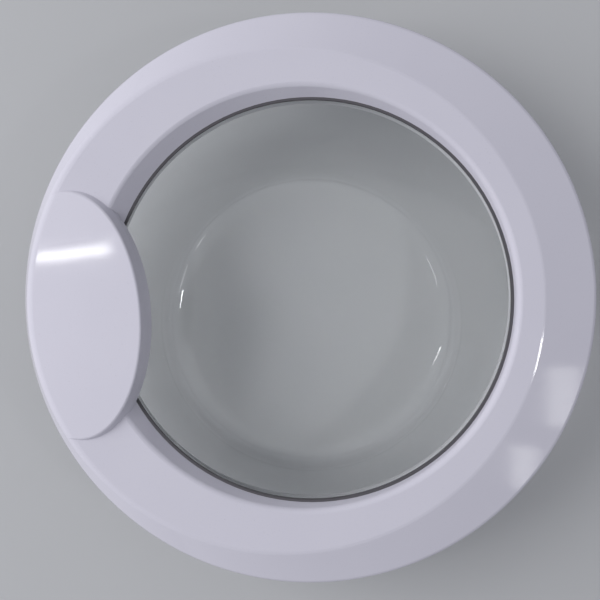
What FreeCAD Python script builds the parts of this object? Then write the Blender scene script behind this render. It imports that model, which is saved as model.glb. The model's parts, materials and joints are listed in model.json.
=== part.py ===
import FreeCAD
import Part
import math
import os

# Door of a front-loading washing machine, lying face up on the bottom of its glass bowl.
# The grip is at -X, the hinge at +X and the door's upper side at +Y. The origin is below the ring's centre,
# level with the bowl's bottom. Millimetres.

Vector = FreeCAD.Vector
ALONG_Y = Vector(0, 1, 0)
ALONG_Z = Vector(0, 0, 1)

# Glass bowl, and the rubber gasket on its flange
bowl_height = 101.0
glass_thickness = 5.0
glass_reveal = 1.5
wall_taper = 31.5
bowl_lean = 24.0
flange_width = 14.0
shoulder_radius = 3.0
under_flange_radius = 2.0
bottom_corner_radius = 24.0
gasket_thickness = 3.0
gasket_reach = 2.0
gasket_skirt_wall = 1.3
gasket_skirt_depth = 4.0
gasket_clearance = 0.2

# Front ring: opening, flat front face, sloped outer band and skirt
lip_radius = 165.5
lip_flare = 5.5
lip_shift_grip = 4.5
lip_shift_up = 2.5
flat_width_hinge = 22.6
band_width_hinge = 46.9
band_width_grip = 7.6
front_height_hinge = 8.2
front_height_grip = 13.0
rim_drop = 3.0
shell_wall = 3.0
rim_fillet = 5.0
crease_fillet = 8.0
lip_fillet = 4.5

# Grip, moulded in one with the front ring and overhanging the glass
grip_inset = 40.4
grip_side_inset = 0.1
grip_reach = 59.7
grip_half_length = 99.5
grip_rise = 24.0
grip_wall_depth = 17.0
grip_draft = 6.2
grip_end_draft = 34.0
grip_foot_depth = 9.0
grip_tilt = 10.5
grip_edge_fillet = 2.0
grip_rim_fillet = 8.5

# Rear ring, which clamps the glass flange from behind
seat_height = 18.0
seat_inset = 4.0
seat_wall = 3.5
seat_lip_height = 6.0
seat_clearance = 2.2
plate_thickness = 3.0
edge_wall = 3.0
edge_height = 8.0
rear_fillet = 1.5
rear_hole_clearance = 3.0
ring_clearance = 0.5

# Screws that hold the two rings together
frame_screw_count = 10
frame_screw_inset = 27.0
frame_screw_radius = 1.8
frame_screw_length = 15.0
frame_screw_head_radius = 4.0
frame_screw_head_height = 3.0
frame_boss_radius = 4.5
cup_wall = 2.0
cup_depth = 4.0
cup_floor = 3.0
recess_depth = 1.4
recess_width = 0.9
recess_length = 4.4
thread_clearance = 0.05
hole_clearance = 0.4
pilot_spare = 0.5

# Latch behind the grip: sprung hook on a riveted pin between two cheeks
latch_inset = 30.0
latch_pivot_height = 9.0
hook_width = 10.0
hook_hub_radius = 6.5
hook_arm_width = 8.0
hook_arm_length = 42.0
hook_barb_reach = 8.0
hook_barb_height = 15.0
hook_heel_reach = 10.0
hook_heel_height = 2.0
hook_peg_radius = 1.5
hook_travel = 12.0
latch_pin_radius = 2.5
latch_rivet_radius = 4.0
latch_rivet_height = 1.5
latch_spring_wire = 1.2
latch_spring_pitch = 1.3
latch_spring_turns = 2
latch_spring_leg = 10.0
latch_base_thickness = 3.0
latch_base_half_width = 24.0
latch_cheek_wall = 2.5
latch_cheek_reach = 11.0
latch_bar = 3.0
latch_slot_margin = 2.0
latch_screw_offset = 18.0
latch_screw_boss_radius = 4.0
latch_screw_length = 11.0
side_gap = 0.5
run_clearance = 0.05

# Hinge opposite the grip
hinge_inset = 11.0
hinge_gap = 1.0
hinge_pin_radius = 3.5
hinge_pin_head_radius = 5.5
hinge_pin_head_height = 2.0
hinge_pin_tail = 3.0
bush_wall = 1.5
bush_length = 12.0
bush_flange_width = 1.5
bush_flange_thickness = 1.5
knuckle_wall = 2.0
door_knuckle_length = 12.0
axial_gap = 0.2
leaf_thickness = 3.0
leaf_reach = 36.0
leaf_corner_radius = 5.0
bracket_half_width = 28.0
bracket_reach = 42.0
bracket_hole_radius = 2.75
bracket_hole_distance = 28.0
bracket_hole_offset = 19.0
clip_thickness = 1.0
clip_wall = 3.0
clip_groove_depth = 0.8
clip_opening = 4.0
leaf_screw_radius = 2.5
leaf_screw_head_radius = 4.6
leaf_screw_length = 13.0
leaf_screw_row_near = 16.0
leaf_screw_row_far = 29.0
leaf_screw_offset = 24.0
nut_plate_thickness = 3.0
nut_plate_margin = 6.0

# Rubber buffers on the rear ring, beside the latch
buffer_angle = 36.0
buffer_head_radius = 6.0
buffer_head_height = 3.0
buffer_stem_radius = 2.5
buffer_bulb_radius = 3.2
buffer_bulb_height = 2.0
buffer_clearance = 0.05

# Cuts run this far past the faces that they open, and edges this near a level lie on it
cut_through = 1.0
near_enough = 0.01

# Levels and radii that several pieces share
rim_radius = lip_radius + flat_width_hinge + band_width_hinge
flange_bottom = bowl_height - glass_thickness
lip_z = bowl_height + gasket_thickness
rim_z = lip_z - rim_drop
rear_z = flange_bottom - seat_height
plate_top = rear_z + plate_thickness
grip_top_z = lip_z + grip_rise
grip_bottom_z = grip_top_z - grip_wall_depth
loft_top_z = grip_top_z + shell_wall
lens_top_z = loft_top_z + 2 * shell_wall
wall_top_radius = lip_radius - glass_reveal
flange_radius = lip_radius + flange_width
cup_seat_z = rear_z + cup_depth
boss_bottom_z = cup_seat_z + cup_floor
frame_screw_circle = rim_radius - frame_screw_inset
cup_bore_radius = frame_screw_head_radius + hole_clearance
latch_x = latch_inset - rim_radius
latch_z = plate_top + latch_pivot_height
spring_room = latch_spring_turns * latch_spring_pitch + latch_spring_wire
cheek_in = hook_width / 2 + spring_room + 2 * side_gap
cheek_out = cheek_in + latch_cheek_wall
knuckle_radius = hinge_pin_radius + bush_wall + knuckle_wall
hinge_x = rim_radius - hinge_inset
hinge_z = rear_z - knuckle_radius - hinge_gap
knuckle_in = bracket_half_width + bush_flange_thickness + axial_gap
knuckle_out = knuckle_in + door_knuckle_length


def box(x_range, y_range, z_range):
    corner = Vector(x_range[0], y_range[0], z_range[0])
    size = [high - low for low, high in (x_range, y_range, z_range)]
    return Part.makeBox(*size, corner)


def post(radius, x, y, z_low, z_high):
    return Part.makeCylinder(radius, z_high - z_low, Vector(x, y, z_low), ALONG_Z)


def rod(radius, x, z, y_low, y_high):
    return Part.makeCylinder(radius, y_high - y_low, Vector(x, y_low, z), ALONG_Y)


def revolve(points):
    """Solid of revolution about Z from (radius, height) corners."""
    outline = Part.makePolygon([Vector(radius, 0, z) for radius, z in points + points[:1]])
    return Part.Face(outline).revolve(Vector(0, 0, 0), ALONG_Z, 360)


def loft_of_circles(sections):
    """Slanted cone through level circles, each given as (radius, x, y, z)."""
    wires = [Part.Wire([Part.makeCircle(radius, Vector(x, y, z))]) for radius, x, y, z in sections]
    return Part.makeLoft(wires, True, True)


def edges_at_level(solid, z):
    level = [edge for edge in solid.Edges if edge.BoundBox.ZLength < near_enough]
    return [edge for edge in level if abs(edge.BoundBox.ZMin - z) < near_enough]


def on_circle(radius, degrees):
    angle = math.radians(degrees)
    return radius * math.cos(angle), radius * math.sin(angle)


# Front ring

def band_cone(inset):
    """Slanted cone of the outer band: shallow at the hinge, steep at the grip."""
    slope_hinge = band_width_hinge / (rim_drop + front_height_hinge)
    slope_grip = band_width_grip / (rim_drop + front_height_grip)
    sections = []
    for height in (0.0, loft_top_z - rim_z):
        right = rim_radius - slope_hinge * height
        left = slope_grip * height - rim_radius
        sections.append(((right - left) / 2 - inset, (right + left) / 2, 0, rim_z + height - inset))
    return loft_of_circles(sections)


def front_slope():
    run = 2 * rim_radius - band_width_hinge - band_width_grip
    return (front_height_grip - front_height_hinge) / run


def front_z(x):
    """Height of the flat front face, which falls towards the hinge."""
    return lip_z + front_height_hinge + front_slope() * (rim_radius - band_width_hinge - x)


def below_front(inset):
    half = 2 * rim_radius
    block = box((-half, half), (-half, half), (-half, 0))
    block.rotate(Vector(0, 0, 0), ALONG_Y, math.degrees(math.atan(front_slope())))
    block.translate(Vector(0, 0, front_z(0) - inset))
    return block


def lip_cone(outset):
    """Opening of the ring, which flares to its front edge, most towards the grip and the upper side."""
    reach = (loft_top_z - lip_z) / (front_z(0) - lip_z)
    front_radius = lip_radius + lip_flare * reach
    return loft_of_circles([
        (lip_radius + outset, 0, 0, lip_z),
        (front_radius + outset, -lip_shift_grip * reach, lip_shift_up * reach, loft_top_z),
    ])


def grip_lens(inset, z_low):
    """Elliptical plug down to a level, tilted with the crown. Its wall spreads to a foot at both ends."""
    center_x = grip_inset - rim_radius
    front_draft = math.radians(grip_draft)
    end_draft = math.radians(grip_end_draft)
    foot_z = grip_top_z - grip_foot_depth
    wires = []
    for z in (z_low - cut_through, foot_z, lens_top_z):
        front = math.tan(front_draft) * (grip_top_z - z) - inset / math.cos(front_draft)
        end = math.tan(end_draft) * (grip_top_z - max(z, foot_z)) - inset / math.cos(end_draft)
        if z < foot_z:
            end += math.tan(front_draft) * (foot_z - z)
        tip = Vector(center_x, grip_half_length + end, z)
        apex = Vector(center_x + grip_reach + front, 0, z)
        wires.append(Part.Wire([Part.Ellipse(tip, apex, Vector(center_x, 0, z)).toShape()]))
    lens = Part.makeLoft(wires, True, True)
    lens.rotate(Vector(center_x + grip_reach, 0, grip_top_z), ALONG_Y, -grip_tilt)
    half = 2 * rim_radius
    return lens.common(box((-half, half), (-half, half), (z_low, 2 * lens_top_z)))


def grip_crown(inset):
    """Ball that meets the flat front face in the crease, and rises to the grip's inner edge."""
    crease_radius = rim_radius - (band_width_hinge + band_width_grip) / 2
    middle_x = (band_width_grip - band_width_hinge) / 2
    edge_x = grip_inset - rim_radius + grip_reach
    rise = grip_top_z - front_z(edge_x)
    depth = (crease_radius ** 2 - (edge_x - middle_x) ** 2 - rise ** 2) / (2 * rise)
    down = Vector(-front_slope(), 0, -1).normalize()
    ball = Vector(middle_x, 0, front_z(middle_x)) + down * depth
    return Part.makeSphere(math.hypot(crease_radius, depth) - inset, ball)


def front_face(solid):
    planes = [face for face in solid.Faces if isinstance(face.Surface, Part.Plane)]
    return max(planes, key=lambda face: face.CenterOfMass.z)


def ring_body():
    """Solid outside of the ring, without the grip."""
    body = post(rim_radius, 0, 0, rear_z, rim_z).fuse(band_cone(0)).removeSplitter()
    body = body.makeFillet(rim_fillet, edges_at_level(body, rim_z))
    body = body.common(below_front(0)).cut(lip_cone(0))
    crease = max(front_face(body).Wires, key=lambda wire: wire.Length)
    body = body.makeFillet(crease_fillet, crease.Edges)
    lip = min(front_face(body).Wires, key=lambda wire: wire.Length)
    lip_height = front_z(lip_radius) - lip_z
    return body.makeFillet(min(lip_fillet, 0.8 * lip_height), lip.Edges)


def crown_face(solid):
    return next(face for face in solid.Faces if isinstance(face.Surface, Part.Sphere))


def grip_body():
    """Solid outside of the grip: a slice of a dome over the whole ring, with a rounded rim."""
    dome = band_cone(grip_side_inset).common(grip_crown(0))
    dome = dome.makeFillet(grip_rim_fillet, crown_face(dome).Edges)
    body = dome.common(grip_lens(0, grip_bottom_z))
    inner_edges = [edge for edge in crown_face(body).Edges if edge.CenterOfMass.x > grip_inset - rim_radius]
    return body.makeFillet(grip_edge_fillet, inner_edges)


def frame_screw_places():
    step = 360.0 / frame_screw_count
    return [on_circle(frame_screw_circle, (index + 0.5) * step) for index in range(frame_screw_count)]


def front_ring():
    bosses = [post(frame_boss_radius, x, y, boss_bottom_z, loft_top_z) for x, y in frame_screw_places()]
    skirt_room = post(rim_radius - shell_wall, 0, 0, rear_z - cut_through, rim_z - shell_wall)
    under_band = skirt_room.fuse(band_cone(shell_wall))
    grip_room = grip_lens(shell_wall, lip_z - cut_through).common(grip_crown(shell_wall))
    ring_room = under_band.common(below_front(shell_wall)).cut(lip_cone(shell_wall))
    behind_grip = band_cone(shell_wall).common(grip_room).cut(lip_cone(shell_wall))
    finger_room = lip_cone(0).common(grip_room)
    ring = ring_body().fuse(grip_body())
    for room in (ring_room.cut(bosses), behind_grip.cut(bosses), finger_room):
        ring = ring.cut(room)
    pilot_end = cup_seat_z + frame_screw_length + pilot_spare
    for x, y in frame_screw_places():
        pilot = post(frame_screw_radius + thread_clearance, x, y, boss_bottom_z - cut_through, pilot_end)
        ring = ring.cut(pilot)
    return ring


# Glass and gasket

def wall_share(z):
    """How far down the bowl's wall a level lies, from 0 at the top to 1 at the inside's bottom."""
    return (bowl_height - z) / (bowl_height - glass_thickness)


def bowl_cone(outset, z_low, z_high):
    """Slanted cone of the bowl: its wall is steep on the door's lower side and sloped on the upper side."""
    sections = []
    for z in (z_low, z_high):
        radius = wall_top_radius - wall_taper * wall_share(z) + outset
        sections.append((radius, 0, -bowl_lean * wall_share(z), z))
    return loft_of_circles(sections)


def glass_bowl():
    outside = bowl_cone(glass_thickness, 0, bowl_height)
    outside = outside.makeFillet(bottom_corner_radius + glass_thickness, edges_at_level(outside, 0))
    bowl = post(flange_radius, 0, 0, flange_bottom, bowl_height).fuse(outside).removeSplitter()
    under_flange = min(edges_at_level(bowl, flange_bottom), key=lambda edge: edge.Length)
    bowl = bowl.makeFillet(under_flange_radius, [under_flange])
    inside = bowl_cone(0, glass_thickness, bowl_height + cut_through)
    inside = inside.makeFillet(bottom_corner_radius, edges_at_level(inside, glass_thickness))
    bowl = bowl.cut(inside)
    shoulder = min(edges_at_level(bowl, bowl_height), key=lambda edge: edge.Length)
    return bowl.makeFillet(shoulder_radius, [shoulder])


def glass_gasket():
    skirt_in = flange_radius + gasket_clearance
    skirt_out = skirt_in + gasket_skirt_wall
    return revolve([
        (lip_radius - gasket_reach, bowl_height),
        (lip_radius - gasket_reach, lip_z),
        (skirt_out, lip_z),
        (skirt_out, bowl_height - gasket_skirt_depth),
        (skirt_in, bowl_height - gasket_skirt_depth),
        (skirt_in, bowl_height),
    ])


# Rear ring and its screws

def leaf_screw_places():
    rows = (hinge_x - leaf_screw_row_near, hinge_x - leaf_screw_row_far)
    return [(x, y) for x in rows for y in (-leaf_screw_offset, leaf_screw_offset)]


def latch_screw_places():
    return [(latch_x, y) for y in (-latch_screw_offset, latch_screw_offset)]


def buffer_places():
    return [on_circle(frame_screw_circle, 180 + side * buffer_angle) for side in (-1, 1)]


def latch_slot(z_low, z_high):
    """Passage of the hook: its arm at both ends of its travel, and its barb."""
    swing = (latch_z - rear_z) * math.tan(math.radians(hook_travel))
    left = hook_arm_width / 2 + hook_barb_reach + latch_slot_margin
    right = hook_arm_width / 2 + swing + latch_slot_margin
    return box((latch_x - left, latch_x + right), (-cheek_in, cheek_in), (z_low, z_high))


def rear_ring():
    """Plate with an edge, and a wall whose lip reaches in under the flange and follows the leaning glass."""
    outer = rim_radius - shell_wall - ring_clearance
    wall_reach = wall_top_radius + glass_thickness + (bowl_lean - wall_taper) * wall_share(rear_z)
    inner = wall_reach + rear_hole_clearance
    seat_outer = flange_radius - seat_inset
    seat_inner = seat_outer - seat_wall
    seat_lip_inner = wall_top_radius - seat_lip_height
    seat_lip_bottom = flange_bottom - seat_lip_height
    ring = revolve([
        (inner, rear_z),
        (outer, rear_z),
        (outer, plate_top + edge_height),
        (outer - edge_wall, plate_top + edge_height),
        (outer - edge_wall, plate_top),
        (seat_outer, plate_top),
        (seat_outer, flange_bottom),
        (seat_lip_inner, flange_bottom),
        (seat_lip_inner, seat_lip_bottom),
        (seat_inner, seat_lip_bottom),
        (seat_inner, plate_top),
        (inner, plate_top),
    ])
    ring = ring.makeFillet(rear_fillet, edges_at_level(ring, rear_z))
    ring = ring.cut(bowl_cone(glass_thickness + seat_clearance, rear_z, flange_bottom + cut_through))
    for x, y in frame_screw_places():
        ring = ring.fuse(post(cup_bore_radius + cup_wall, x, y, plate_top, boss_bottom_z))
    below = rear_z - cut_through
    above = boss_bottom_z + cut_through
    holes = [latch_slot(below, above)]
    for x, y in frame_screw_places():
        holes.append(post(cup_bore_radius, x, y, below, cup_seat_z))
        holes.append(post(frame_screw_radius + hole_clearance, x, y, below, above))
    for x, y in latch_screw_places():
        holes.append(post(frame_screw_radius + hole_clearance, x, y, below, above))
    for x, y in leaf_screw_places():
        holes.append(post(leaf_screw_radius + hole_clearance, x, y, below, above))
    for x, y in buffer_places():
        holes.append(post(buffer_stem_radius + buffer_clearance, x, y, below, above))
    return ring.cut(holes)


def cross_recess(x, y, z_low):
    long_half = recess_length / 2
    thin_half = recess_width / 2
    slots = []
    for half_x, half_y in ((long_half, thin_half), (thin_half, long_half)):
        slots.append(box((x - half_x, x + half_x), (y - half_y, y + half_y), (z_low, z_low + recess_depth)))
    return slots


def pan_screw(x, y, seat_z, length):
    """Pan-headed screw driven upwards, its head under the seat."""
    head_z = seat_z - frame_screw_head_height
    head = post(frame_screw_head_radius, x, y, head_z, seat_z)
    head = head.makeFillet(frame_screw_head_height / 2, edges_at_level(head, head_z))
    return head.fuse(post(frame_screw_radius, x, y, seat_z, seat_z + length)).cut(cross_recess(x, y, head_z))


# Latch

def latch_housing():
    slot_room = latch_slot(plate_top, plate_top + latch_base_thickness)
    base_top = plate_top + latch_base_thickness
    x_low = slot_room.BoundBox.XMin - latch_bar
    x_high = slot_room.BoundBox.XMax + latch_bar
    base_y = (-latch_base_half_width, latch_base_half_width)
    housing = box((x_low, x_high), base_y, (plate_top, base_top))
    cheek_x = (latch_x - latch_cheek_reach, latch_x + latch_cheek_reach)
    bar_top = latch_z + hook_hub_radius + side_gap + latch_bar
    for side in (-1, 1):
        y_range = sorted((side * cheek_in, side * cheek_out))
        housing = housing.fuse(box(cheek_x, y_range, (base_top, bar_top)))
    spring_side = latch_x + hook_arm_width / 2
    spring_bar = box((latch_x, spring_side), (-cheek_in, cheek_in), (bar_top - latch_bar, bar_top))
    stop_x = latch_x - hook_heel_reach
    stop_z = latch_z + hook_heel_height
    stop_bar = box((stop_x, stop_x + latch_bar), (-cheek_in, cheek_in), (stop_z, stop_z + latch_bar))
    housing = housing.fuse([spring_bar, stop_bar])
    boss_top = rear_z + latch_screw_length + pilot_spare
    for x, y in latch_screw_places():
        housing = housing.fuse(post(latch_screw_boss_radius, x, y, plate_top, boss_top))
    cuts = [latch_slot(plate_top - cut_through, base_top + cut_through)]
    cuts.append(rod(latch_pin_radius + run_clearance, latch_x, latch_z, -2 * cheek_out, 2 * cheek_out))
    for x, y in latch_screw_places():
        cuts.append(post(frame_screw_radius + thread_clearance, x, y, plate_top - cut_through, bar_top))
    return housing.cut(cuts)


def latch_hook():
    half = hook_arm_width / 2
    barb_tip = -hook_arm_length + hook_barb_height / 2
    outline = [
        (half, 0),
        (-half, 0),
        (-half, -hook_arm_length + hook_barb_height),
        (-half - hook_barb_reach, -hook_arm_length + hook_barb_height),
        (-half - hook_barb_reach, barb_tip),
        (-half / 2, -hook_arm_length),
        (half, -hook_arm_length),
    ]
    corners = [Vector(latch_x + x, -hook_width / 2, latch_z + z) for x, z in outline + outline[:1]]
    hook = Part.Face(Part.makePolygon(corners)).extrude(ALONG_Y * hook_width)
    side = (-hook_width / 2, hook_width / 2)
    heel_top = latch_z + hook_heel_height - side_gap
    heel = box((latch_x - hook_heel_reach, latch_x), side, (latch_z - half, heel_top))
    hub = rod(hook_hub_radius, latch_x, latch_z, *side)
    peg_x = latch_x + spring_coil_radius() - latch_spring_wire / 2 - run_clearance - hook_peg_radius
    peg_z = latch_z - latch_spring_leg + hook_peg_radius
    peg_end = hook_width / 2 + side_gap + latch_spring_wire
    peg = rod(hook_peg_radius, peg_x, peg_z, 0, peg_end)
    bore = rod(latch_pin_radius + run_clearance, latch_x, latch_z, -hook_width, hook_width)
    return hook.fuse([heel, hub, peg]).cut(bore)


def latch_pin():
    """Rivet with a head against the outside of each cheek."""
    pin = rod(latch_pin_radius, latch_x, latch_z, -cheek_out, cheek_out)
    heads = [
        rod(latch_rivet_radius, latch_x, latch_z, -cheek_out - latch_rivet_height, -cheek_out),
        rod(latch_rivet_radius, latch_x, latch_z, cheek_out, cheek_out + latch_rivet_height),
    ]
    return pin.fuse(heads)


def spring_coil_radius():
    return hook_arm_width / 2 + latch_spring_wire / 2 + run_clearance


def latch_spring():
    """Coil around the pin beside the hook, one leg on the hook's peg and one on the housing's bar."""
    coil_radius = spring_coil_radius()
    height = latch_spring_turns * latch_spring_pitch
    helix = Part.makeHelix(latch_spring_pitch, height, coil_radius)
    lead = Vector(0, 2 * math.pi * coil_radius, latch_spring_pitch).normalize()
    start = Vector(coil_radius, 0, 0)
    end = Vector(coil_radius, 0, height)
    leg = lead * latch_spring_leg
    path = Part.Wire([Part.makeLine(start - leg, start)] + helix.Edges + [Part.makeLine(end, end + leg)])
    section = Part.Wire([Part.makeCircle(latch_spring_wire / 2, start - leg, lead)])
    spring = path.makePipeShell([section], True, True)
    spring.rotate(Vector(0, 0, 0), Vector(1, 0, 0), 90)
    spring = spring.mirror(Vector(0, 0, 0), ALONG_Y)
    spring.translate(Vector(latch_x, hook_width / 2 + side_gap + latch_spring_wire / 2, latch_z))
    return spring


# Hinge

def rounded_plate(x_range, half_width, z_low, z_high, far_x):
    """Plate with the two corners at far_x rounded."""
    plate = box(x_range, (-half_width, half_width), (z_low, z_high))
    upright = [edge for edge in plate.Edges if edge.BoundBox.ZLength > (z_high - z_low) / 2]
    corners = [edge for edge in upright if abs(edge.BoundBox.Center.x - far_x) < near_enough]
    return plate.makeFillet(leaf_corner_radius, corners)


def hinge_leaf():
    far_x = hinge_x - leaf_reach
    leaf_low = rear_z - leaf_thickness
    leaf = rounded_plate((far_x, hinge_x), knuckle_out, leaf_low, rear_z, far_x)
    clear = knuckle_radius + hinge_gap
    middle = (-knuckle_in, knuckle_in)
    notch = box((hinge_x - clear, hinge_x + clear), middle, (leaf_low - cut_through, rear_z + cut_through))
    leaf = leaf.cut(notch)
    for low, high in ((-knuckle_out, -knuckle_in), (knuckle_in, knuckle_out)):
        leaf = leaf.fuse(rod(knuckle_radius, hinge_x, hinge_z, low, high))
        web = box((hinge_x - knuckle_radius, hinge_x), (low, high), (hinge_z, rear_z))
        leaf = leaf.fuse(web)
    cuts = [rod(hinge_pin_radius + run_clearance, hinge_x, hinge_z, -2 * knuckle_out, 2 * knuckle_out)]
    for x, y in leaf_screw_places():
        hole_radius = leaf_screw_radius + hole_clearance
        cuts.append(post(hole_radius, x, y, leaf_low - cut_through, rear_z + cut_through))
        cuts.append(countersink(x, y, leaf_low, hole_clearance))
    return leaf.cut(cuts)


def countersink(x, y, z_low, clearance):
    wide = leaf_screw_head_radius + clearance
    narrow = leaf_screw_radius + clearance
    return Part.makeCone(wide, narrow, wide - narrow, Vector(x, y, z_low), ALONG_Z)


def leaf_screw(x, y):
    low = rear_z - leaf_thickness
    seat_drop = hole_clearance
    head = countersink(x, y, low + seat_drop, 0)
    shank = post(leaf_screw_radius, x, y, low + seat_drop, low + seat_drop + leaf_screw_length)
    return head.fuse(shank).cut(cross_recess(x, y, low + seat_drop))


def hinge_nut_plate():
    near = hinge_x - leaf_screw_row_near + nut_plate_margin
    far = hinge_x - leaf_screw_row_far - nut_plate_margin
    half = leaf_screw_offset + nut_plate_margin
    plate = rounded_plate((far, near), half, plate_top, plate_top + nut_plate_thickness, far)
    holes = []
    for x, y in leaf_screw_places():
        top = plate_top + nut_plate_thickness + cut_through
        holes.append(post(leaf_screw_radius + thread_clearance, x, y, plate_top - cut_through, top))
    return plate.cut(holes)


def hinge_bracket():
    """Machine's side of the hinge, hanging straight down from the pin."""
    half = leaf_thickness / 2
    far_x = hinge_x - bracket_reach
    plate = rounded_plate((far_x, hinge_x), bracket_half_width, hinge_z - half, hinge_z + half, far_x)
    bracket = plate.fuse(rod(knuckle_radius, hinge_x, hinge_z, -bracket_half_width, bracket_half_width))
    bore_radius = hinge_pin_radius + bush_wall + run_clearance
    cuts = [rod(bore_radius, hinge_x, hinge_z, -2 * bracket_half_width, 2 * bracket_half_width)]
    hole_x = hinge_x - bracket_hole_distance
    for y in (-bracket_hole_offset, bracket_hole_offset):
        cuts.append(post(bracket_hole_radius, hole_x, y, hinge_z - leaf_thickness, hinge_z + leaf_thickness))
    bracket = bracket.cut(cuts)
    bracket.rotate(Vector(hinge_x, 0, hinge_z), ALONG_Y, -90)
    return bracket


def hinge_bush(side):
    outside = bracket_half_width + bush_flange_thickness
    sleeve_y = sorted((side * (bracket_half_width - bush_length), side * outside))
    flange_y = sorted((side * bracket_half_width, side * outside))
    sleeve = rod(hinge_pin_radius + bush_wall, hinge_x, hinge_z, *sleeve_y)
    flange = rod(hinge_pin_radius + bush_wall + bush_flange_width, hinge_x, hinge_z, *flange_y)
    bore = rod(hinge_pin_radius + run_clearance, hinge_x, hinge_z, -2 * outside, 2 * outside)
    return sleeve.fuse(flange).cut(bore)


def clip_groove():
    """Y range of the groove in the pin's lower end."""
    return -knuckle_out - axial_gap - clip_thickness, -knuckle_out - axial_gap


def hinge_pin():
    groove_low, groove_high = clip_groove()
    tail = groove_low - hinge_pin_tail
    pin = rod(hinge_pin_radius, hinge_x, hinge_z, tail, knuckle_out)
    head = rod(hinge_pin_head_radius, hinge_x, hinge_z, knuckle_out, knuckle_out + hinge_pin_head_height)
    core = rod(hinge_pin_radius - clip_groove_depth, hinge_x, hinge_z, groove_low, groove_high)
    groove = rod(hinge_pin_radius + cut_through, hinge_x, hinge_z, groove_low, groove_high).cut(core)
    return pin.fuse(head).cut(groove)


def hinge_pin_clip():
    low, high = clip_groove()
    bore = hinge_pin_radius - clip_groove_depth + run_clearance
    ring = rod(bore + clip_wall, hinge_x, hinge_z, low, high).cut(rod(bore, hinge_x, hinge_z, low, high))
    mouth_x = (hinge_x - clip_opening / 2, hinge_x + clip_opening / 2)
    mouth_z = (hinge_z - 2 * (bore + clip_wall), hinge_z)
    return ring.cut(box(mouth_x, (low - cut_through, high + cut_through), mouth_z))


# Buffers

def door_buffer(x, y):
    head_z = rear_z - buffer_head_height
    head = post(buffer_head_radius, x, y, head_z, rear_z)
    head = head.makeFillet(buffer_head_height / 2, edges_at_level(head, head_z))
    stem = post(buffer_stem_radius, x, y, rear_z, plate_top)
    bulb = post(buffer_bulb_radius, x, y, plate_top, plate_top + buffer_bulb_height)
    return head.fuse([stem, bulb])


def all_pieces():
    pieces = {
        "front_ring": front_ring(),
        "glass_bowl": glass_bowl(),
        "glass_gasket": glass_gasket(),
        "rear_ring": rear_ring(),
        "latch_housing": latch_housing(),
        "latch_hook": latch_hook(),
        "latch_pin": latch_pin(),
        "latch_spring": latch_spring(),
        "hinge_leaf": hinge_leaf(),
        "hinge_nut_plate": hinge_nut_plate(),
        "hinge_bracket": hinge_bracket(),
        "hinge_bush_upper": hinge_bush(1),
        "hinge_bush_lower": hinge_bush(-1),
        "hinge_pin": hinge_pin(),
        "hinge_pin_clip": hinge_pin_clip(),
    }
    for index, (x, y) in enumerate(frame_screw_places(), 1):
        pieces[f"frame_screw_{index}"] = pan_screw(x, y, cup_seat_z, frame_screw_length)
    for index, (x, y) in enumerate(latch_screw_places(), 1):
        pieces[f"latch_screw_{index}"] = pan_screw(x, y, rear_z, latch_screw_length)
    for index, (x, y) in enumerate(leaf_screw_places(), 1):
        pieces[f"leaf_screw_{index}"] = leaf_screw(x, y)
    for index, (x, y) in enumerate(buffer_places(), 1):
        pieces[f"door_buffer_{index}"] = door_buffer(x, y)
    return pieces


os.makedirs("parts", exist_ok=True)
for name, shape in all_pieces().items():
    shape.exportStep(f"parts/{name}.step")
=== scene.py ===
import json
import math

import bpy
from mathutils import Matrix, Vector


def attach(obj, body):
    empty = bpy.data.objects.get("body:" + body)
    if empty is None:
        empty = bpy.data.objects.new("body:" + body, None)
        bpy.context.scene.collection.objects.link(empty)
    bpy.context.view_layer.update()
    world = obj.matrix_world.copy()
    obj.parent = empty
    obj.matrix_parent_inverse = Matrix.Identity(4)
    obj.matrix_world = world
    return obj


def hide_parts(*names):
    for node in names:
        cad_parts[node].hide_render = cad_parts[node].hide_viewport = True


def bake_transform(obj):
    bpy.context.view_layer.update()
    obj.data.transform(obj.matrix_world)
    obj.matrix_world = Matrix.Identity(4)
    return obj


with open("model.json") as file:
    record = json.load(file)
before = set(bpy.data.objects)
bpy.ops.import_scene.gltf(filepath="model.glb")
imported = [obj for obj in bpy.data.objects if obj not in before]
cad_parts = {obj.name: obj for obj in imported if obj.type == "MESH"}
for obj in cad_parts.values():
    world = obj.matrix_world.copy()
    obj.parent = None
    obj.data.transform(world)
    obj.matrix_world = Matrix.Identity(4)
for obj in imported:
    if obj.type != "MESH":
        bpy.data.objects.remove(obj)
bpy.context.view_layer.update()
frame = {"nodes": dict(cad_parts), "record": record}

scene = bpy.context.scene
nodes = frame["nodes"]


# Node helpers

def feed(tree, socket, value):
    """Link another node's output to a socket, or set its value."""
    if isinstance(value, bpy.types.NodeSocket):
        tree.links.new(value, socket)
    else:
        socket.default_value = value


def plug(tree, node, **inputs):
    """Feed sockets by name, with _ for a space."""
    for name, value in inputs.items():
        feed(tree, node.inputs[name.replace("_", " ")], value)


def add(tree, kind, **inputs):
    node = tree.nodes.new(kind)
    plug(tree, node, **inputs)
    return node


def noise(tree, place, scale, detail=4.0, rough=0.55, stretch=(1, 1, 1)):
    if stretch != (1, 1, 1):
        place = add(tree, "ShaderNodeMapping", Vector=place, Scale=stretch).outputs["Vector"]
    node = add(tree, "ShaderNodeTexNoise", Vector=place, Scale=scale, Detail=detail, Roughness=rough)
    return node.outputs["Fac"]


def remap(tree, value, low, high, to_low, to_high):
    node = add(tree, "ShaderNodeMapRange", Value=value, From_Min=low, From_Max=high,
               To_Min=to_low, To_Max=to_high)
    return node.outputs["Result"]


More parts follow.
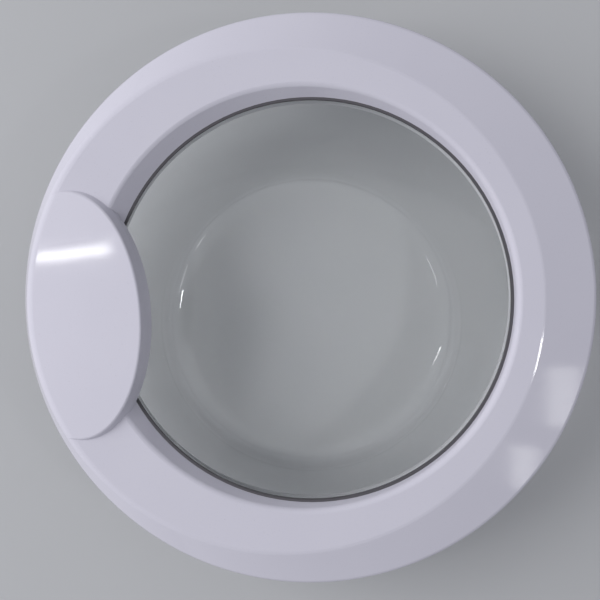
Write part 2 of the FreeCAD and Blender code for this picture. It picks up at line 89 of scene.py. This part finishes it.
def larger(tree, first, second):
    node = tree.nodes.new("ShaderNodeMath")
    node.operation = "MAXIMUM"
    feed(tree, node.inputs[0], first)
    feed(tree, node.inputs[1], second)
    return node.outputs["Value"]


def tint(tree, share, first, second):
    """Colour between two, by a share from 0 to 1: each a linear colour or another node's output."""
    node = tree.nodes.new("ShaderNodeMix")
    node.data_type = "RGBA"
    first_color, second_color = [socket for socket in node.inputs if socket.type == "RGBA"]
    tree.links.new(share, node.inputs["Factor"])
    for socket, value in ((first_color, first), (second_color, second)):
        feed(tree, socket, (*value, 1.0) if isinstance(value, tuple) else value)
    return next(socket for socket in node.outputs if socket.type == "RGBA")


def bump(tree, height, strength, distance):
    node = add(tree, "ShaderNodeBump", Height=height, Strength=strength, Distance=distance)
    return node.outputs["Normal"]


def surface(name):
    """New material with its tree, its shader and the object's own place in metres."""
    material = bpy.data.materials.new(name)
    material.use_nodes = True
    tree = material.node_tree
    shader = next(node for node in tree.nodes if node.type == "BSDF_PRINCIPLED")
    place = tree.nodes.new("ShaderNodeTexCoord").outputs["Object"]
    return material, tree, shader, place


# Materials

def gloss_white_plastic():
    material, tree, shader, place = surface("gloss_white_plastic")
    clouds = noise(tree, place, 14.0, 3.0)
    specks = noise(tree, place, 900.0, 2.0)
    tone = tint(tree, clouds, (0.575, 0.56, 0.645), (0.61, 0.595, 0.675))
    tone = tint(tree, remap(tree, specks, 0.66, 0.74, 0.0, 0.5), tone, (0.48, 0.47, 0.53))
    wipes = noise(tree, place, 60.0, 6.0, 0.65, (1.0, 6.0, 1.0))
    peel = noise(tree, place, 330.0, 2.0)
    plug(tree, shader, Base_Color=tone, Roughness=remap(tree, wipes, 0.3, 0.75, 0.06, 0.11), IOR=1.5,
         Normal=bump(tree, peel, 0.03, 0.0003))
    return material


def satin_white_plastic():
    material, tree, shader, place = surface("satin_white_plastic")
    clouds = noise(tree, place, 9.0, 4.0)
    grain = noise(tree, place, 1400.0, 2.0)
    tone = tint(tree, clouds, (0.55, 0.545, 0.58), (0.62, 0.615, 0.645))
    tone = tint(tree, remap(tree, grain, 0.55, 0.75, 0.0, 0.35), tone, (0.47, 0.465, 0.48))
    plug(tree, shader, Base_Color=tone, Roughness=remap(tree, clouds, 0.3, 0.7, 0.36, 0.5), IOR=1.48,
         Normal=bump(tree, grain, 0.25, 0.0003))
    return material


def clear_glass():
    material, tree, shader, place = surface("clear_glass")
    waves = noise(tree, place, 16.0, 2.0, 0.4)
    smears = noise(tree, place, 40.0, 6.0, 0.7, (1.0, 3.0, 1.0))
    tone = tint(tree, waves, (0.93, 0.95, 0.95), (0.97, 0.98, 0.98))
    plug(tree, shader, Base_Color=tone, Roughness=remap(tree, smears, 0.5, 0.85, 0.0, 0.06), IOR=1.5,
         Transmission_Weight=1.0, Normal=bump(tree, waves, 0.12, 0.002))
    return material


def dark_rubber():
    material, tree, shader, place = surface("dark_rubber")
    bloom = noise(tree, place, 45.0, 5.0)
    grain = noise(tree, place, 1800.0, 2.0)
    tone = tint(tree, bloom, (0.075, 0.072, 0.08), (0.105, 0.10, 0.11))
    plug(tree, shader, Base_Color=tone, Roughness=remap(tree, bloom, 0.3, 0.7, 0.6, 0.78),
         Normal=bump(tree, grain, 0.35, 0.0002))
    return material


def grey_plastic():
    material, tree, shader, place = surface("grey_plastic")
    clouds = noise(tree, place, 30.0, 4.0)
    grain = noise(tree, place, 2200.0, 2.0)
    tone = tint(tree, clouds, (0.085, 0.09, 0.10), (0.125, 0.13, 0.14))
    plug(tree, shader, Base_Color=tone, Roughness=remap(tree, clouds, 0.3, 0.7, 0.38, 0.55),
         Normal=bump(tree, grain, 0.3, 0.0002))
    return material


def zinc_steel():
    material, tree, shader, place = surface("zinc_steel")
    cells = add(tree, "ShaderNodeTexVoronoi", Vector=place, Scale=260.0).outputs["Color"]
    spangle = add(tree, "ShaderNodeSeparateColor", Color=cells).outputs["Red"]
    lines = noise(tree, place, 90.0, 5.0, 0.6, (1.0, 22.0, 1.0))
    tone = tint(tree, spangle, (0.50, 0.51, 0.53), (0.66, 0.66, 0.66))
    tone = tint(tree, remap(tree, lines, 0.55, 0.8, 0.0, 0.6), tone, (0.52, 0.49, 0.42))
    plug(tree, shader, Base_Color=tone, Roughness=remap(tree, lines, 0.3, 0.7, 0.26, 0.42), Metallic=1.0,
         Normal=bump(tree, lines, 0.12, 0.0002))
    return material


def spring_steel():
    material, tree, shader, place = surface("spring_steel")
    drawn = noise(tree, place, 240.0, 4.0, 0.6, (1.0, 0.08, 1.0))
    film = noise(tree, place, 70.0, 4.0)
    tone = tint(tree, drawn, (0.36, 0.36, 0.37), (0.52, 0.52, 0.53))
    tone = tint(tree, remap(tree, film, 0.5, 0.75, 0.0, 0.5), tone, (0.34, 0.31, 0.27))
    plug(tree, shader, Base_Color=tone, Roughness=remap(tree, drawn, 0.3, 0.7, 0.2, 0.34), Metallic=1.0,
         Normal=bump(tree, drawn, 0.1, 0.0001))
    return material


def bush_plastic():
    material, tree, shader, place = surface("bush_plastic")
    clouds = noise(tree, place, 60.0, 4.0)
    grain = noise(tree, place, 1600.0, 2.0)
    tone = tint(tree, clouds, (0.62, 0.58, 0.48), (0.72, 0.69, 0.60))
    plug(tree, shader, Base_Color=tone, Roughness=remap(tree, clouds, 0.3, 0.7, 0.34, 0.5),
         Normal=bump(tree, grain, 0.15, 0.0002))
    return material


makers = {
    "gloss_white_plastic": gloss_white_plastic,
    "satin_white_plastic": satin_white_plastic,
    "clear_glass": clear_glass,
    "dark_rubber": dark_rubber,
    "grey_plastic": grey_plastic,
    "zinc_steel": zinc_steel,
    "spring_steel": spring_steel,
    "bush_plastic": bush_plastic,
}
materials = {slot: make() for slot, make in makers.items()}
for part in frame["record"]["subparts"]:
    mesh = nodes[part["node"]]
    for material_slot in mesh.material_slots:
        material_slot.link = "OBJECT"
        material_slot.material = materials[part["material_slot"]]


# Glass bowl with a smooth surface, in the place of its node

bowl_height = 0.101
glass_thickness = 0.005
wall_top_radius = 0.164
wall_bottom_radius = 0.1325
bowl_lean = 0.024
flange_radius = 0.1795
flange_edge_fillet = 0.001
inner_top_fillet = 0.003
outer_top_fillet = 0.002
inner_bottom_fillet = 0.024
outer_bottom_fillet = 0.029
bowl_turns = 240


def fillet(before, corner, after, radius, steps):
    """Points of the arc that rounds a corner of an outline, in (distance, height)."""
    here = Vector(corner)
    back = (Vector(before) - here).normalized()
    ahead = (Vector(after) - here).normalized()
    half = back.angle(ahead) / 2
    center = here + (back + ahead).normalized() * (radius / math.sin(half))
    start = here + back * (radius / math.tan(half)) - center
    end = here + ahead * (radius / math.tan(half)) - center
    turn = start.angle(end)
    points = []
    for step in range(steps + 1):
        share = step / steps
        mixed = (start * math.sin((1 - share) * turn) + end * math.sin(share * turn)) / math.sin(turn)
        points.append(center + mixed)
    return points


def run(first, last, steps):
    """Points between two places of an outline, without its ends."""
    return [Vector(first).lerp(Vector(last), step / steps) for step in range(1, steps)]


def far_side(radius, angle):
    """Distance from the axis of the bowl's bottom to a circle about the ring's axis."""
    across = bowl_lean * math.cos(angle)
    return bowl_lean * math.sin(angle) + math.sqrt(radius * radius - across * across)


def bowl_outline(angle):
    """Half section of the glass in one direction from the axis of its bottom, from inside to outside."""
    edge = far_side(flange_radius, angle)
    top = far_side(wall_top_radius, angle)
    slope = (top - wall_bottom_radius) / (bowl_height - glass_thickness)
    outer_top = top - slope * glass_thickness + glass_thickness
    outer_bottom = wall_bottom_radius - slope * glass_thickness + glass_thickness
    inside = [(0.0, glass_thickness), (wall_bottom_radius, glass_thickness)]
    inside += [(top, bowl_height), (edge, bowl_height)]
    under = bowl_height - glass_thickness
    outside = [(edge, under), (outer_top, under), (outer_bottom, 0.0), (0.0, 0.0)]
    in_low = fillet(*inside[:3], inner_bottom_fillet, 16)
    in_high = fillet(*inside[1:], inner_top_fillet, 12)
    out_high = fillet(*outside[:3], outer_top_fillet, 6)
    out_low = fillet(*outside[1:], outer_bottom_fillet, 16)
    rim = fillet(inside[2], inside[3], outside[0], flange_edge_fillet, 3)
    rim += fillet(inside[3], outside[0], outside[1], flange_edge_fillet, 3)
    points = run(inside[0], in_low[0], 8) + in_low + run(in_low[-1], in_high[0], 12) + in_high
    points += run(in_high[-1], rim[0], 3) + rim + run(rim[-1], out_high[0], 3) + out_high
    points += run(out_high[-1], out_low[0], 12) + out_low + run(out_low[-1], outside[3], 8)
    return points


def smooth_bowl(turns):
    rows = [bowl_outline(2 * math.pi * turn / turns) for turn in range(turns)]
    count = len(rows[0])
    verts = []
    for turn, row in enumerate(rows):
        angle = 2 * math.pi * turn / turns
        for point in row:
            verts.append((point.x * math.cos(angle), point.x * math.sin(angle) - bowl_lean, point.y))
    inner_middle = len(verts)
    verts.append((0.0, -bowl_lean, glass_thickness))
    verts.append((0.0, -bowl_lean, 0.0))
    faces = []
    for turn in range(turns):
        here = turn * count
        there = (turn + 1) % turns * count
        faces.append((inner_middle, here, there))
        faces.append((inner_middle + 1, there + count - 1, here + count - 1))
        for step in range(count - 1):
            faces.append((here + step, here + step + 1, there + step + 1, there + step))
    mesh = bpy.data.meshes.new("bowl_glass")
    mesh.from_pydata(verts, [], faces)
    mesh.validate()
    for face in mesh.polygons:
        face.use_smooth = True
    piece = bpy.data.objects.new("bowl_glass", mesh)
    scene.collection.objects.link(piece)
    mesh.materials.append(materials["clear_glass"])
    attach(piece, "door")
    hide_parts("glass_bowl")
    piece.visible_shadow = False


smooth_bowl(bowl_turns)


# Latch spring as a wire, in the place of its node

spring_wire = 0.0012
spring_pitch = 0.0013
spring_turns = 2
spring_leg = 0.010
spring_turn_steps = 48
spring_leg_steps = 6
coil_radius = 0.00465
coil_start = Vector((-0.205, 0.0061, 0.09))


def spring_line():
    """Middle of the wire: the leg on the hook's peg, the coil, and the leg on the housing's bar."""
    steps = spring_turn_steps * spring_turns
    coil = []
    for step in range(steps + 1):
        angle = 2 * math.pi * spring_turns * step / steps
        along = spring_turns * spring_pitch * step / steps
        coil.append(Vector((coil_radius * math.cos(angle), along, coil_radius * math.sin(angle))))
    lead = Vector((0.0, spring_pitch, 2 * math.pi * coil_radius)).normalized() * spring_leg
    shares = [step / spring_leg_steps for step in range(1, spring_leg_steps + 1)]
    low_leg = [coil[0] - lead * share for share in reversed(shares)]
    high_leg = [coil[-1] + lead * share for share in shares]
    return [coil_start + point for point in low_leg + coil + high_leg]


def twisting_spring():
    curve = bpy.data.curves.new("spring_line", "CURVE")
    curve.dimensions = "3D"
    curve.bevel_depth = spring_wire / 2
    curve.bevel_resolution = 4
    curve.use_fill_caps = True
    points = spring_line()
    spline = curve.splines.new("POLY")
    spline.points.add(len(points) - 1)
    for spot, point in zip(spline.points, points):
        spot.co = (*point, 1.0)
    guide = bpy.data.objects.new("spring_line", curve)
    scene.collection.objects.link(guide)
    bpy.context.view_layer.update()
    mesh = bpy.data.meshes.new_from_object(guide)
    bpy.data.objects.remove(guide)
    bpy.data.curves.remove(curve)
    for face in mesh.polygons:
        face.use_smooth = len(face.vertices) == 4
    piece = bpy.data.objects.new("spring_wire", mesh)
    scene.collection.objects.link(piece)
    mesh.materials.clear()
    mesh.materials.append(materials["spring_steel"])
    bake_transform(piece)
    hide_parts("latch_spring")


twisting_spring()


# Floor, light and camera

floor_level = -0.0005
floor_reach = 6.0
sky_color = (0.94, 0.96, 1.02, 1.0)
sky_light = 0.42
sky_seen = 0.6
lamp_height = 2.0
sensor_width = 36.0
image_width = 600
focal_pixels = 741.98
camera_place = (-0.00711, 0.02396, 0.70927)
camera_turn = Vector((-0.03659, 0.00253, -0.05883))


def floor():
    mesh = bpy.data.meshes.new("floor")
    sides = ((-1, -1), (1, -1), (1, 1), (-1, 1))
    corners = [(floor_reach * x, floor_reach * y, floor_level) for x, y in sides]
    mesh.from_pydata(corners, [], [(0, 1, 2, 3)])
    plane = bpy.data.objects.new("floor", mesh)
    scene.collection.objects.link(plane)
    material, tree, shader, place = surface("floor")
    clouds = noise(tree, place, 3.0, 5.0)
    tone = tint(tree, clouds, (0.44, 0.445, 0.46), (0.47, 0.475, 0.49))
    plug(tree, shader, Base_Color=tone, Roughness=0.7)
    mesh.materials.append(material)


def lamp(name, place, size, watts, aim, along=(1, 0, 0)):
    """Rectangular lamp that faces a point, its first side as near as can be to a direction."""
    light = bpy.data.lights.new(name, "AREA")
    light.shape = "RECTANGLE"
    light.size = size[0]
    light.size_y = size[1]
    light.energy = watts
    back = (Vector(place) - Vector(aim)).normalized()
    across = back.cross(Vector(along)).normalized()
    turn = Matrix((across.cross(back), across, back)).transposed()
    holder = bpy.data.objects.new(name, light)
    holder.matrix_world = Matrix.Translation(place) @ turn.to_4x4()
    scene.collection.objects.link(holder)
    return holder


def lamp_facing_down(name, x, y, size, watts, along=(1, 0, 0), height=lamp_height):
    return lamp(name, (x, y, height), size, watts, (x, y, 0.0), along)


def sky():
    """Pale even sky, with its own strength where it is seen or mirrored."""
    world = bpy.data.worlds.new("studio")
    scene.world = world
    world.use_nodes = True
    tree = world.node_tree
    tree.nodes.clear()
    paths = tree.nodes.new("ShaderNodeLightPath").outputs
    seen = larger(tree, paths["Is Camera Ray"], paths["Is Transmission Ray"])
    seen = larger(tree, seen, paths["Is Glossy Ray"])
    lit = add(tree, "ShaderNodeBackground", Color=sky_color, Strength=sky_light)
    pale = add(tree, "ShaderNodeBackground", Color=sky_color, Strength=sky_seen)
    mixed = tree.nodes.new("ShaderNodeMixShader")
    tree.links.new(seen, mixed.inputs["Fac"])
    tree.links.new(lit.outputs["Background"], mixed.inputs[1])
    tree.links.new(pale.outputs["Background"], mixed.inputs[2])
    out = tree.nodes.new("ShaderNodeOutputWorld")
    tree.links.new(mixed.outputs["Shader"], out.inputs["Surface"])


def photo_camera():
    """Camera almost straight above the door, a little towards its upper side."""
    data = bpy.data.cameras.new("camera")
    data.sensor_width = sensor_width
    data.lens = focal_pixels / image_width * sensor_width
    data.clip_start = 0.01
    camera = bpy.data.objects.new("camera", data)
    rotation = Matrix.Rotation(camera_turn.length, 4, camera_turn)
    camera.matrix_world = Matrix.Translation(camera_place) @ rotation
    scene.collection.objects.link(camera)
    scene.camera = camera


floor()
sky()

# One large soft lamp lights the door, and is kept out of its reflections and out of the glass
window = lamp("window_left", (-3.2, 0.9, 2.4), (3.2, 3.2), 148.0, (0.0, 0.0, 0.1), (0, 1, 0))
window.visible_glossy = False
window.visible_transmission = False

# Small lamps for the highlights on the grip, the crease and the band
lamp_facing_down("tube_left", -1.339, 0.301, (0.545, 0.055), 1.7, (0.544, 0.024, 0))
lamp("tube_right", (1.37, -0.48, lamp_height), (0.12, 0.2), 1.7, (0.19, -0.05, 0.11))
lamp_facing_down("pane_near", 2.18, -1.06, (0.19, 0.55), 1.2)
lamp_facing_down("pane_far", 1.95, -1.77, (0.16, 0.48), 0.9)

# A thin low lamp for the streak in the glass
glint = lamp_facing_down("glint", -0.217, -0.136, (0.008, 0.068), 0.12, height=0.6)
glint.visible_diffuse = False
glint.visible_camera = False

photo_camera()
scene.view_settings.view_transform = "Standard"
